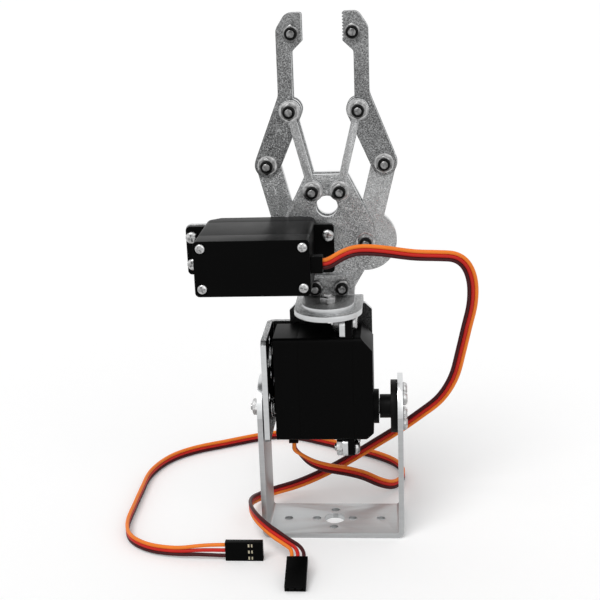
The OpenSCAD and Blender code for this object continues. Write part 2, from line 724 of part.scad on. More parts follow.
// Side profile of the top cover: chamfered at the far end and the near end
module servo_top() {
    z0 = tab_z + tab_t;
    color([0.09, 0.09, 0.1]) difference() {
        union() {
            intersection() {
                translate([0, 0, z0]) linear_extrude(case_h - z0) case_outline();
                slab(-case_w, case_w) polygon([[case_x0 - 1, z0 - 1], [case_x0 - 1, case_h - 4.2],
                    [case_x0, case_h - 4.2], [case_x0 + 5, case_h], [case_x1 - 3, case_h],
                    [case_x1, case_h - 3], [case_x1 + 1, case_h - 3], [case_x1 + 1, z0 - 1]]);
            }
            cylinder(h = case_h + boss_h, d = boss_d);
        }
        translate([0, 0, -1]) cylinder(h = z0 + 1, d = boss_d + 1);
        translate([0, 0, z0 - 1]) linear_extrude(case_h - case_wall - z0 + 1) intersection() {
            case_cavity();
            translate([case_x0 + 6.2, -case_w]) square([case_l - 7.2 - case_wall, 2 * case_w]);
        }
        cylinder(h = case_h + boss_h + 1, d = shaft_d + 0.1);
        case_screw_spots() cylinder(h = z0 + 2.2, r = 1 + ease / 2);
    }
}

module servo_screws() {
    color("silver") case_screw_spots() translate([0, 0, 1]) screw(tab_z + tab_t + 0.8, 1, 1.9, 1.4);
}

module servo_relief() {
    color([0.07, 0.07, 0.07]) difference() {
        union() {
            translate([case_x1 - case_wall - 1, (ease - relief_w) / 2, relief_z + (ease - relief_t) / 2])
                cube([case_wall + 1 + relief_out, relief_w - ease, relief_t - ease]);
            translate([case_x1 - case_wall - 1, -relief_w / 2 - 0.6, relief_z - relief_t / 2])
                cube([0.9, relief_w + 1.2, relief_t]);
        }
        translate([case_x1 + relief_out - slot_depth, -ribbon_w / 2 - 0.3, relief_z - ribbon_t / 2 - 0.2])
            cube([2, ribbon_w + 0.6, ribbon_t + 0.4]);
    }
}

module servo_motor() {
    color("gray") translate([motor_x, 0, 0]) {
        translate([0, 0, 7]) cylinder(h = tab_z - 2.5 - 7, r = motor_r);
        translate([0, 0, 7]) cylinder(h = tab_z + tab_t - 3.5, r = 1);
        translate([0, 0, tab_z + tab_t + 0.3]) linear_extrude(4.2) small_gear(pinion_r, 9);
    }
}

// Control board with the shaft's feedback potentiometer
module servo_board() {
    color("green") {
        translate([case_x0 + post + 0.3, 2.9 - case_w / 2, 2.6])
            cube([case_l - 2 * post - 0.6, case_w - 5.8, 1.4]);
        translate([0, 0, 3.5]) cylinder(h = 7.5, r = sensor_r);
        translate([0, 0, 3.5]) cylinder(h = tab_z - 2.4 - 0.3 - 3.5, r = 1.6);
    }
}

// Compound gear between motor pinion and output gear, on its pin
module servo_gear() {
    z0 = tab_z + tab_t + 0.3;
    color("gold") translate([double_x, 0, 0]) {
        translate([0, 0, z0]) linear_extrude(2.6) small_gear(double_r, 12);
        translate([0, 0, z0 + 2.7]) linear_extrude(1.5) small_gear(double_big_r, 26);
        translate([0, 0, tab_z + tab_t]) cylinder(h = case_h - case_wall - tab_z - tab_t, r = 0.8);
    }
}

module tilt_servo_cover() { at_tilt() servo_cover(); }
module tilt_servo_case() { at_tilt() servo_case(); }
module tilt_servo_top() { at_tilt() servo_top(); }
module tilt_servo_screws() { at_tilt() servo_screws(); }
module tilt_servo_relief() { at_tilt() servo_relief(); }
module tilt_servo_motor() { at_tilt() servo_motor(); }
module tilt_servo_board() { at_tilt() servo_board(); }
module tilt_servo_gear() { at_tilt() servo_gear(); }
module claw_servo_cover() { at_claw() servo_cover(); }
module claw_servo_case() { at_claw() servo_case(); }
module claw_servo_top() { at_claw() servo_top(); }
module claw_servo_screws() { at_claw() servo_screws(); }
module claw_servo_relief() { at_claw() servo_relief(); }
module claw_servo_motor() { at_claw() servo_motor(); }
module claw_servo_board() { at_claw() servo_board(); }
module claw_servo_gear() { at_claw() servo_gear(); }

// ---- claw drive ----
horn_seat_y = arm_y + arm_t;
claw_hub_y = plate_y + boss_h + seat;

module claw_shaft() { color("gold") at_claw() output_shaft(horn_seat_y + 1 - claw_y); }

module claw_horn() {
    color("dimgray") translate([-axis_x, claw_hub_y, gear_z]) rotate([-90, 0, 0])
        horn(horn_seat_y - claw_hub_y);
}

module claw_horn_screws() {
    color("silver") translate([-axis_x, horn_seat_y + horn_t, gear_z]) rotate([90, 0, 0]) {
        for (a = [45:90:315]) rotate(a) translate([bolt_circle_d / 2, 0, 0])
            screw(horn_t + arm_t - 0.3, 1, 1.8, 1.2);
        screw(4.6, screw_r, 2.6, 1.7);
    }
}

// Half the angle of a tooth at radius r, from the involute of its base circle
function inv(a) = tan(a) - a * PI / 180;
function half_tooth(r) = 90 / gear_teeth - backlash + (inv(20) - inv(acos(base_r / r))) * 180 / PI;
function polar(r, a) = r * [cos(a), sin(a)];

module tooth() {
    radii = [for (i = [0:5]) base_r + 0.01 + (tooth_tip_r - base_r - 0.01) * i / 5];
    foot = half_tooth(radii[0]);
    polygon([polar(root_r - 1, -foot), for (r = radii) polar(r, -half_tooth(r)),
        for (i = [5:-1:0]) polar(radii[i], half_tooth(radii[i])), polar(root_r - 1, foot)]);
}

// A right-hand gear arm about its own axis; first is the angle of its first tooth
module gear_arm_outline(first, bore) {
    turn = 90 - arm_lean;
    difference() {
        union() {
            circle(r = gear_back_r);
            polygon([[0, 0], for (i = [0:12]) polar(root_r, first - 5 + i * (tooth_step * 5 + 10) / 12)]);
            for (i = [0:5]) rotate(first + i * tooth_step) tooth();
            rotate(turn) translate([0, -arm_w / 2]) square([arm_len, arm_w]);
            translate(lean) circle(r = arm_w / 2 + 0.3);
        }
        circle(r = bore);
        translate(lean) circle(r = hole_r);
    }
}

module left_gear_arm() {
    color("silver") difference() {
        side(true) translate([axis_x, 0, gear_z]) slab(arm_y, arm_y + arm_t)
            gear_arm_outline(180 - 1.5 * tooth_step, horn_hub_d / 2 + ease);
        translate([-axis_x, 0, gear_z]) for (a = [45:90:315])
            rod_y(bolt_circle_d / 2 * cos(a), bolt_circle_d / 2 * sin(a), arm_y - 1,
                arm_y + arm_t + 1, 1 + ease / 2);
    }
}

module right_gear_arm() {
    color("silver") translate([axis_x, 0, gear_z]) slab(arm_y, arm_y + arm_t)
        gear_arm_outline(180 - 2 * tooth_step, hole_r);
}

// ---- links and fingers ----
module link_outline() {
    difference() {
        union() {
            for (p = [[0, 0], lean]) translate(p) circle(d = link_eye_d);
            rotate(-arm_lean) translate([-link_w / 2, 0]) square([link_w, arm_len]);
        }
        for (p = [[0, 0], lean]) translate(p) circle(r = hole_r);
    }
}

module links() {
    color("silver") translate([link_x, 0, link_z]) for (y = [front_link_y, rear_link_y])
        slab(y, y + link_t) link_outline();
}

module left_links() { side(true) links(); }
module right_links() { links(); }

// Blade of a right finger about its knuckle: bar, middle boss and tip
module finger_shape(teeth) {
    top = tip_rise + 7;
    low = tip_rise - 3;
    pitch = (top - low - 1.4) / tip_teeth;
    difference() {
        union() {
            circle(r = knuckle_r);
            translate([-mid_in, mid_up]) circle(r = link_eye_d / 2 + 0.3);
            polygon(rounded([[knuckle_r - 0.3, 1.9, 1], [-bar_out, bar_start, 6], [-bar_out, top - 5.5, 4],
                [-bar_out - 3.6, top, 3], [-jaw_in, top, 0.8], [-jaw_in, low, 0.8],
                [-bar_in, low - 3.6, 1.5], [-bar_in, mid_up + 3, 0],
                [-mid_in - 4.1, mid_up - 1.5, 0], [-4.5, -1.4, 0]]));
        }
        if (teeth) for (i = [0:tip_teeth - 1]) translate([-jaw_in, top - 1.2 - i * pitch])
            polygon([[-0.5, pitch * 0.6], [0.7, 0], [-0.5, -pitch * 0.6]]);
        circle(r = hole_r);
        translate([-mid_in, mid_up]) circle(r = hole_r);
        translate([-tip_in, tip_rise]) circle(r = hole_r);
    }
}

module finger_plates(teeth) {
    color("silver") translate([knuckle[0], 0, knuckle[1]]) for (y = [plate_y, rear_y])
        slab(y, y + sheet) finger_shape(teeth);
}

module left_finger() { side(true) finger_plates(false); }
module right_finger() { finger_plates(true); }

module finger_bolts() {
    color("silver") {
        bolt_y(knuckle, bolt_tip(plate_y - washer_t), rear_end);
        bolt_y(mid, bolt_tip(link_nut_y), rear_link_y + link_t + layer_gap);
        bolt_y(tip, bolt_tip(plate_y), rear_end);
    }
}

module left_finger_bolts() { side(true) finger_bolts(); }
module right_finger_bolts() { finger_bolts(); }

module finger_nuts() {
    color("gray") {
        nut_y(knuckle, plate_y - washer_t);
        nut_y(mid, link_nut_y);
        nut_y(tip, plate_y);
    }
}

module left_finger_nuts() { side(true) finger_nuts(); }
module right_finger_nuts() { finger_nuts(); }

// Spacers between the two plates of a finger, and the washers under its nuts
module finger_spacers() {
    color("silver") {
        for (p = [mid, tip]) tube_y(p, plate_y + sheet, rear_y, pillar_d / 2 + 0.5);
        washer_y(knuckle, plate_y);
        washer_y(mid, link_nut_y + washer_t);
    }
}

module left_finger_spacers() { side(true) finger_spacers(); }
module right_finger_spacers() { finger_spacers(); }

// ---- leads ----
// A flat eight-sided tube along points [x, y, z, wx, wy, wz], w being its broad direction
module ribbon(path) {
    p = [for (q = path) [q[0], q[1], q[2]]];
    n = len(p);
    t = [for (i = [0:n - 1]) unit(p[min(i + 1, n - 1)] - p[max(i - 1, 0)])];
    w = [for (i = [0:n - 1]) let (d = [path[i][3], path[i][4], path[i][5]]) unit(d - t[i] * (d * t[i]))];
    side_v = [for (i = [0:n - 1]) cross(t[i], w[i])];
    cut = [[1, 0.35], [0.8, 1], [-0.8, 1], [-1, 0.35], [-1, -0.35], [-0.8, -1], [0.8, -1], [1, -0.35]];
    rings = [for (i = [0:n - 1], c = cut)
        p[i] + w[i] * (c[0] * ribbon_w / 2) + side_v[i] * (c[1] * ribbon_t / 2)];
    polyhedron(rings, concat([[for (k = [7:-1:0]) k]],
        [for (i = [0:n - 2], k = [0:7]) let (a = i * 8 + k, b = i * 8 + (k + 1) % 8)
            each [[a, b, b + 8], [a, b + 8, a + 8]]],
        [[for (k = [0:7]) (n - 1) * 8 + k]]));
}

// The route after a straight start out of the relief, from inside its slot
function start_at(route, exit, way, w) = concat([for (d = [ease / 2 - slot_depth, 1.2])
    let (p = exit + way * d) [p[0], p[1], p[2], w[0], w[1], w[2]]], route);

module claw_lead() { color("orange") ribbon(start_at(claw_route, claw_exit, [1, 0, 0], [0, 0, 1])); }
module tilt_lead() { color("orange") ribbon(start_at(tilt_route, tilt_exit, [0, 0, -1], [0, -1, 0])); }

// Plug housing along +X from the face where the wires enter
module plug_body() {
    color([0.08, 0.08, 0.08]) difference() {
        translate([0, -plug[1] / 2, -plug[2] / 2]) cube(plug);
        for (k = [-1, 0, 1]) translate([plug[0] - 6, k * 2.54 - 0.4, -0.4]) cube([7, 0.8, 0.8]);
    }
}

function last(route) = let (q = route[len(route) - 1]) [q[0], q[1], q[2]];

module tilt_plug() { translate(last(tilt_route)) rotate([90, 0, 0]) plug_body(); }
module claw_plug() {
    translate(last(claw_route)) rotate([0, 0, -90]) rotate([0, 20, 0]) plug_body();
}

u_bracket();
tilt_horn();
tilt_horn_screws();
tilt_shaft();
pivot_bolt();
pivot_washer();
pivot_nut();
pivot_bearing_inner();
pivot_bearing_outer();
pivot_bearing_balls();
servo_bracket();
head_screws();
head_nuts();
l_bracket();
claw_foot();
foot_centre_screw();
front_plate();
back_plate();
plate_spacers();
plate_bolts();
plate_nuts();
plate_washers();
servo_pillars();
pillar_screws();
tilt_servo_cover();
tilt_servo_case();
tilt_servo_top();
tilt_servo_screws();
tilt_servo_relief();
tilt_servo_motor();
tilt_servo_board();
tilt_servo_gear();
claw_servo_cover();
claw_servo_case();
claw_servo_top();
claw_servo_screws();
claw_servo_relief();
claw_servo_motor();
claw_servo_board();
claw_servo_gear();
claw_shaft();
claw_horn();
claw_horn_screws();
left_gear_arm();
right_gear_arm();
left_links();
right_links();
left_finger();
right_finger();
left_finger_bolts();
right_finger_bolts();
left_finger_nuts();
right_finger_nuts();
left_finger_spacers();
right_finger_spacers();
claw_lead();
tilt_lead();
claw_plug();
tilt_plug();
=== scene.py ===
"""Two finger gripper: finishes, rounded sheet metal, cross-head screws, lock nuts and ribbon leads."""
import json
import math
import bmesh
import bpy
from mathutils import Euler, Matrix, Vector
from mathutils.bvhtree import BVHTree
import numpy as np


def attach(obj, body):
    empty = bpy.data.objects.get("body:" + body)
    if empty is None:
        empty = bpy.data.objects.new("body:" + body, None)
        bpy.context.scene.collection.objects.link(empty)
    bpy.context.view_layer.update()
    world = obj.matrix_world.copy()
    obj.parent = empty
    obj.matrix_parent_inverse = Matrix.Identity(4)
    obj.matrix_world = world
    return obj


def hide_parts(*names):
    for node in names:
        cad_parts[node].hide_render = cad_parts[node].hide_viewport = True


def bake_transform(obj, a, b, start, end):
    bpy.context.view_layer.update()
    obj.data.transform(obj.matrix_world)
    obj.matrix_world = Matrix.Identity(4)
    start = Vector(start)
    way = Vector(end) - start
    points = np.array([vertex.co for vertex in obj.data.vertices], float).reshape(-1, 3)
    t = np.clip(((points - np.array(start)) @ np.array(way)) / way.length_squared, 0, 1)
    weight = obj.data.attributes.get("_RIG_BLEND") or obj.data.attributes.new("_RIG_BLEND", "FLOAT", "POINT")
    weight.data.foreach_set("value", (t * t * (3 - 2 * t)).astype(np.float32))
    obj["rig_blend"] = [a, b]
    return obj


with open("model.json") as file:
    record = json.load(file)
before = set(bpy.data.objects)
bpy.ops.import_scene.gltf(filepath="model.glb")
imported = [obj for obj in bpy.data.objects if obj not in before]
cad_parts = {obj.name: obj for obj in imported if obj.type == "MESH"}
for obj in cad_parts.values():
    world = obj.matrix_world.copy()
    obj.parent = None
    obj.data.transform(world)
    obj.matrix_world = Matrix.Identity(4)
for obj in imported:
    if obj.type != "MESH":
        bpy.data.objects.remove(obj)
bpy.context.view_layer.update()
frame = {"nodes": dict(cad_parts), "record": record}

MM = 0.001
NODES = frame["nodes"]
RECORD = frame["record"]
BODY = {n: b for b, names in RECORD["behaviour"]["bodies"].items() for n in names}
SLOT = {s["node"]: s["material_slot"] for s in RECORD["subparts"]}


def mm(*values):
    return Vector(values) * MM


# ---------------------------------------------------------------- camera
VIEW_AZIMUTH, VIEW_HEIGHT, VIEW_ROLL = 5.02, 16.69, -2.17
VIEW_DISTANCE, VIEW_TARGET = 389.34, (-7.35, -35.31, 101.8)
SENSOR, FOCAL = 36.0, 69.23


def make_camera():
    az, el, roll = (math.radians(a) for a in (VIEW_AZIMUTH, VIEW_HEIGHT, VIEW_ROLL))
    back = Vector((math.sin(az) * math.cos(el), -math.cos(az) * math.cos(el), math.sin(el)))
    right = (-back).cross(Vector((0, 0, 1))).normalized()
    up = right.cross(-back)
    x = math.cos(roll) * right + math.sin(roll) * up
    y = -math.sin(roll) * right + math.cos(roll) * up
    data = bpy.data.cameras.new("camera")
    data.lens, data.sensor_width = FOCAL, SENSOR
    data.clip_start, data.clip_end = 0.01, 60
    camera = bpy.data.objects.new("camera", data)
    camera.matrix_world = Matrix.Translation(mm(*VIEW_TARGET) + back * VIEW_DISTANCE * MM) @ Matrix(
        (x, y, back)).transposed().to_4x4()
    bpy.context.scene.collection.objects.link(camera)
    bpy.context.scene.camera = camera


# ---------------------------------------------------------------- finishes
class Value:
    """A shader socket that takes part in Python sums."""

    def __init__(self, look, socket):
        self.look, self.socket = look, socket

    def math(self, operation, *others):
        return self.look.node("ShaderNodeMath", [self, *others], operation=operation)

    def __add__(self, other):
        return self.math("ADD", other)

    def __mul__(self, other):
        return self.math("MULTIPLY", other)

    def __sub__(self, other):
        return self.math("SUBTRACT", other)

    def __rsub__(self, other):
        return self.look.node("ShaderNodeMath", [other, self], operation="SUBTRACT")

    __radd__ = __add__
    __rmul__ = __mul__

    def above(self, low, high):
        """0 up to low, 1 from high on."""
        return self.look.node("ShaderNodeMapRange", [self, low, high, 0.0, 1.0],
                              interpolation_type="SMOOTHSTEP")


class Look:
    """A material on the piece's own Object coordinates."""

    def __init__(self, name, colour, metallic=0.0, roughness=0.5, **sockets):
        self.material = bpy.data.materials.new(name)
        self.material.use_nodes = True
        self.tree = self.material.node_tree
        self.surface = self.tree.nodes["Principled BSDF"]
        self.material.diffuse_color = (*colour, 1)
        for key, value in {"Base Color": (*colour, 1), "Metallic": metallic, "Roughness": roughness,
                           **sockets}.items():
            self.surface.inputs[key].default_value = value
        self.place = self.node("ShaderNodeTexCoord", [], "Object")

    def link(self, value, socket):
        if isinstance(value, Value):
            self.tree.links.new(value.socket, socket)
        elif value is not None:
            socket.default_value = value

    def node(self, kind, values=(), out=0, **settings):
        made = self.tree.nodes.new(kind)
        for key, value in settings.items():
            setattr(made, key, value)
        for key, value in (values.items() if isinstance(values, dict) else enumerate(values)):
            self.link(value, made.inputs[key])
        return Value(self, made.outputs[out])

    def feed(self, name, value):
        self.link(value, self.surface.inputs[name])

    def stretched(self, scale):
        return self.node("ShaderNodeMapping", {"Vector": self.place, "Scale": scale})

    def noise(self, scale, detail=2.0, rough=0.5, along=None):
        return self.node("ShaderNodeTexNoise", {"Vector": along or self.place, "Scale": scale,
                                                "Detail": detail, "Roughness": rough})

    def grains(self, scale, channel=0):
        """A random value for each grain."""
        cells = self.node("ShaderNodeTexVoronoi", {"Vector": self.place, "Scale": scale}, "Color")
        return self.node("ShaderNodeSeparateColor", [cells], channel)

    def mix(self, factor, dark, light):
        made = self.tree.nodes.new("ShaderNodeMix")
        made.data_type = "RGBA"
        self.link(factor, made.inputs[0])
        self.link((*dark, 1) if isinstance(dark, tuple) else dark, made.inputs[6])
        self.link((*light, 1) if isinstance(light, tuple) else light, made.inputs[7])
        return Value(self, made.outputs[2])

    def bump(self, height, depth, strength=1.0):
        self.feed("Normal", self.node("ShaderNodeBump", {"Height": height, "Strength": strength,
                                                         "Distance": depth}))


def grey(v, cool=0.0):
    return (v * (1 - cool), v, v * (1 + cool / 2))


def blasted_metal(name="blasted_aluminium", low=0.14, high=0.66):
    """Grit-blasted sheet: dark pits and bright facets a third of a millimetre wide."""
    look = Look(name, grey(0.5 * (low + high)), 1.0, 0.42)
    fine, coarse = look.grains(4200), look.grains(2900, 1)
    patch = look.noise(60, 1.0)
    spark = coarse.above(0.88, 0.92)
    shade = fine * 0.4 + coarse * 0.3 + patch * 0.3
    look.feed("Base Color", look.mix(shade.above(0.1, 0.9) + spark * 0.5, grey(low, 0.01), grey(high, 0.01)))
    look.feed("Roughness", 0.55 - fine * 0.2 - spark * 0.25)
    look.bump(fine + coarse, 0.00008, 0.7)
    return look.material


def smooth_metal(name="bright_aluminium", low=0.42, high=0.64, roughness=0.4):
    look = Look(name, grey(0.5 * (low + high), 0.015), 1.0, roughness)
    brushed = look.noise(900, 2.0, 0.6, look.stretched((0.04, 1.0, 1.0)))
    cloud = look.noise(45, 3.0)
    look.feed("Base Color", look.mix(brushed * 0.5 + cloud * 0.5, grey(low, 0.015), grey(high, 0.015)))
    look.feed("Roughness", (roughness - 0.06) + brushed * 0.14)
    look.bump(brushed, 0.00002, 0.4)
    return look.material


def screw_metal():
    look = Look("zinc_steel", grey(0.6), 1.0, 0.2)
    worn = look.noise(700, 3.0)
    look.feed("Base Color", look.mix(worn.above(0.35, 0.7), grey(0.42), grey(0.68)))
    look.feed("Roughness", 0.16 + worn * 0.16)
    look.bump(worn, 0.00002, 0.3)
    return look.material


def dark_metal(name="dark_steel", low=0.1, high=0.34):
    look = Look(name, grey(0.5 * (low + high)), 1.0, 0.3)
    worn = look.noise(800, 2.0)
    look.feed("Base Color", look.mix(worn.above(0.3, 0.7), grey(low), grey(high)))
    look.feed("Roughness", 0.22 + worn * 0.2)
    return look.material


def moulded(name, v, roughness, pattern, level):
    look = Look(name, grey(v), 0.0, roughness, **{"Specular IOR Level": level})
    fine = look.noise(pattern, 2.0, 0.6)
    smear = look.noise(70, 2.0)
    look.feed("Base Color", look.mix(fine * 0.6 + smear * 0.4, grey(v * 0.7), grey(v * 1.3, 0.02)))
    look.feed("Roughness", smear * 0.16 + (roughness - 0.08))
    look.bump(fine, 0.00003, 0.5)
    return look.material


def wire_sheath(name, colour):
    look = Look(name, colour, 0.0, 0.42, **{"Specular IOR Level": 0.16})
    drift = look.noise(120, 2.0)
    fine = look.noise(1800, 1.0)
    dark = tuple(c * 0.86 for c in colour)
    light = tuple(min(1, c * 1.08) for c in colour)
    look.feed("Base Color", look.mix(drift, dark, light))
    look.feed("Roughness", 0.3 + fine * 0.14)
    look.bump(fine, 0.00002, 0.3)
    return look.material


def plain_metal(name, colour, roughness):
    look = Look(name, colour, 1.0, roughness)
    worn = look.noise(500, 2.0)
    look.feed("Base Color", look.mix(worn, tuple(c * 0.8 for c in colour), colour))
    look.feed("Roughness", roughness - 0.05 + worn * 0.1)
    return look.material


FINISH = {
    "blasted_aluminium": blasted_metal(),
    "bright_aluminium": smooth_metal(),
    # cut edges: a smoother finish that is real, and a brighter colour that is a painted highlight along the
    # sheet's edges
    "cut_edge_and_highlight": smooth_metal("cut_edge_and_highlight", 0.6, 0.85, 0.3),
    "fine_aluminium": blasted_metal("fine_aluminium", 0.27, 0.62),
    "finger_aluminium": blasted_metal("finger_aluminium", 0.04, 0.42),
    # the foot's own blasted grain, made darker throughout: painted shade for the claw's shadow on the foot
    "foot_painted_shade_aluminium": blasted_metal("foot_painted_shade_aluminium", 0.16, 0.5),
    # painted shade: a near-black copy of the blasted sheet for the bracket's faces beside the black servo
    "painted_shade_aluminium": blasted_metal("painted_shade_aluminium", 0.008, 0.05),
    "zinc_steel": screw_metal(),
    "dark_steel": dark_metal(),
    # the claw's bolts: a darker copy of the screw steel, painted shade for the dark reflection on their ends
    "bolt_painted_shade_steel": dark_metal("bolt_painted_shade_steel", 0.09, 0.34),
    "servo_plastic": moulded("servo_plastic", 0.0009, 0.36, 1400, 0.05),
    "horn_plastic": moulded("horn_plastic", 0.0016, 0.45, 900, 0.1),
    "nylon": moulded("nylon", 0.004, 0.5, 900, 0.12),
    "motor_can": plain_metal("motor_can", (0.5, 0.5, 0.52), 0.3),
    "gear_brass": plain_metal("gear_brass", (0.72, 0.55, 0.25), 0.3),
    "circuit_board": moulded("circuit_board", 0.05, 0.4, 600, 0.4),
    "contact": plain_metal("contact", (0.75, 0.68, 0.5), 0.25),
    "orange": wire_sheath("orange", (0.9, 0.225, 0.028)),
    "red": wire_sheath("red", (0.58, 0.022, 0.016)),
    "brown": wire_sheath("brown", (0.058, 0.008, 0.01)),
}
FINISH["lead_insulation"] = FINISH["orange"]


# ---------------------------------------------------------------- making pieces
def add_object(name, mesh):
    piece = bpy.data.objects.new(name, mesh)
    bpy.context.scene.collection.objects.link(piece)
    return piece


def from_bmesh(name, bm, *finishes):
    mesh = bpy.data.meshes.new(name)
    bm.to_mesh(mesh)
    bm.free()
    for finish in finishes:
        mesh.materials.append(FINISH[finish])
    return add_object(name, mesh)


def finished(piece, node):
    """The piece rides on the node's body."""
    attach(piece, BODY[node])
    return piece


def smooth(bm, angle=38):
    for face in bm.faces:
        face.smooth = True
    for edge in bm.edges:
        edge.smooth = len(edge.link_faces) == 2 and edge.calc_face_angle(0) < math.radians(angle)


# mm between doubles, degrees within a flat face, and degrees at a sharp edge
WELD, FLAT, SHARP = 0.004, 0.6, 28


def joined(node):
    """The CAD node's mesh with its doubles merged."""
    bm = bmesh.new()
    bm.from_mesh(NODES[node].data)
    bmesh.ops.remove_doubles(bm, verts=bm.verts, dist=WELD * MM)
    return bm


def mark_cut_edges(bm, sheet):
    """Faces that look into the sheet for more than its thickness are its cut edges."""
    tree = BVHTree.FromBMesh(bm)
    for face in bm.faces:
        centre = face.calc_center_median()
        hit = tree.ray_cast(centre - face.normal * 0.02 * MM, -face.normal)
        face.material_index = 1 if hit[3] and hit[3] > 1.3 * sheet * MM else 0


def edged(node, width, finish=None, segments=2, sheet=None):
    """The CAD node with its edges rounded, as tumbled sheet or moulded plastic is."""
    bm = joined(node)
    bmesh.ops.dissolve_limit(bm, angle_limit=math.radians(FLAT), verts=bm.verts, edges=bm.edges)
    sharp = [e for e in bm.edges if len(e.link_faces) == 2 and e.calc_face_angle(0) > math.radians(SHARP)]
    bmesh.ops.bevel(bm, geom=sharp, offset=width * MM, segments=segments, profile=0.6, affect="EDGES",
                    clamp_overlap=True, harden_normals=False)
    smooth(bm)
    # cut edges take the brighter finish: smoother metal with a painted highlight
    if sheet:
        mark_cut_edges(bm, sheet)
    piece = from_bmesh(node + "_finished", bm, finish or SLOT[node], *(["cut_edge_and_highlight"] if sheet else []))
    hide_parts(node)
    return finished(piece, node)


def lathe(profile, sides):
    """A solid turned round Z from (radius, height) pairs in mm, from the axis to the axis."""
    bm = bmesh.new()
    rings = []
    for r, z in profile:
        if r == 0:
            rings.append([bm.verts.new(mm(0, 0, z))])
        else:
            rings.append([bm.verts.new(mm(r * math.cos(a), r * math.sin(a), z))
                          for a in (2 * math.pi * i / sides for i in range(sides))])
    for low, high in zip(rings, rings[1:]):
        for i in range(sides):
            j = (i + 1) % sides
            corners = [low[i % len(low)], low[j % len(low)], high[j % len(high)], high[i % len(high)]]
            bm.faces.new(list(dict.fromkeys(corners)))
    bmesh.ops.recalc_face_normals(bm, faces=bm.faces)
    return bm


def ring(profile, sides):
    """As lathe, for a closed profile that stays off the axis."""
    bm = bmesh.new()
    loops = [[bm.verts.new(mm(r * math.cos(a), r * math.sin(a), z))
              for a in (2 * math.pi * i / sides for i in range(sides))] for r, z in profile]
    for k, low in enumerate(loops):
        high = loops[(k + 1) % len(loops)]
        for i in range(sides):
            j = (i + 1) % sides
            bm.faces.new([low[i], low[j], high[j], high[i]])
    bmesh.ops.recalc_face_normals(bm, faces=bm.faces)
    return bm


def prism(points, low, high):
    bm = bmesh.new()
    rings = [[bm.verts.new(mm(x, y, z)) for x, y in points] for z in (low, high)]
    bm.faces.new(rings[0][::-1])
    bm.faces.new(rings[1])
    for i in range(len(points)):
        j = (i + 1) % len(points)
        bm.faces.new([rings[0][i], rings[0][j], rings[1][j], rings[1][i]])
    return bm


def carved(base, tools):
    """base after each (operation, tool) boolean, as a plain mesh."""
    made = from_bmesh("carved", base)
    helpers = []
    for operation, tool in tools:
        helper = from_bmesh("tool", tool)
        helpers.append(helper)
        cut = made.modifiers.new("cut", "BOOLEAN")
        cut.operation, cut.solver, cut.object = operation, "EXACT", helper
    graph = bpy.context.evaluated_depsgraph_get()
    mesh = bpy.data.meshes.new_from_object(made.evaluated_get(graph), depsgraph=graph)
    for o in [made, *helpers]:
        bpy.data.objects.remove(o)
    bm = bmesh.new()
    bm.from_mesh(mesh)
    bpy.data.meshes.remove(mesh)
    smooth(bm)
    return bm


# ---------------------------------------------------------------- repeats, by Geometry Nodes
def repeat_tree():
    tree = bpy.data.node_groups.new("repeat_piece", "GeometryNodeTree")
    for name, kind in (("Spots", "NodeSocketGeometry"), ("Piece", "NodeSocketObject"),
                       ("Size", "NodeSocketFloat"), ("Finish", "NodeSocketMaterial")):
        tree.interface.new_socket(name, in_out="INPUT", socket_type=kind)
    tree.interface.new_socket("Pieces", in_out="OUTPUT", socket_type="NodeSocketGeometry")
    new = tree.nodes.new
    enter, leave = new("NodeGroupInput"), new("NodeGroupOutput")
    info, spread = new("GeometryNodeObjectInfo"), new("GeometryNodeInstanceOnPoints")
    turn, real = new("GeometryNodeInputNamedAttribute"), new("GeometryNodeRealizeInstances")
    turn.data_type = "FLOAT_VECTOR"
    turn.inputs["Name"].default_value = "turn"
    paint = new("GeometryNodeSetMaterial")
    for a, b in ((enter.outputs["Spots"], spread.inputs["Points"]),
                 (enter.outputs["Piece"], info.inputs["Object"]),
                 (info.outputs["Geometry"], spread.inputs["Instance"]),
                 (turn.outputs["Attribute"], spread.inputs["Rotation"]),
                 (enter.outputs["Size"], spread.inputs["Scale"]),
                 (spread.outputs["Instances"], real.inputs["Geometry"]),
                 (real.outputs["Geometry"], paint.inputs["Geometry"]),
                 (enter.outputs["Finish"], paint.inputs["Material"]),
                 (paint.outputs["Geometry"], leave.inputs["Pieces"])):
        tree.links.new(a, b)
    return tree, {s.name: s.identifier for s in tree.interface.items_tree if s.in_out == "INPUT"}


REPEAT, SOCKET = repeat_tree()


def aim(axis, spin=0.0):
    """Euler angles that bring +Z to the axis, after a spin about it."""
    return (Vector(axis).to_track_quat("Z", "Y") @ Euler((0, 0, spin)).to_quaternion()).to_euler()


def repeated(name, master, spots, finish):
    """The master bmesh at each (place, turn), as one plain mesh."""
    pattern = from_bmesh("master", master)
    mesh = bpy.data.meshes.new(name)
    mesh.from_pydata([place for place, _ in spots], [], [])
    turns = mesh.attributes.new("turn", "FLOAT_VECTOR", "POINT")
    for item, (_, turn) in zip(turns.data, spots):
        item.vector = Vector(turn)
    host = add_object(name + "_spots", mesh)
    nodes = host.modifiers.new("repeat", "NODES")
    nodes.node_group = REPEAT
    nodes[SOCKET["Piece"]], nodes[SOCKET["Size"]] = pattern, 1.0
    nodes[SOCKET["Finish"]] = FINISH[finish]
    graph = bpy.context.evaluated_depsgraph_get()
    result = bpy.data.meshes.new_from_object(host.evaluated_get(graph), depsgraph=graph)
    host.modifiers.clear()
    bpy.data.objects.remove(host)
    bpy.data.objects.remove(pattern)
    result.name = name
    for extra in [a for a in result.attributes if a.name == "turn"]:
        result.attributes.remove(extra)
    return add_object(name, result)


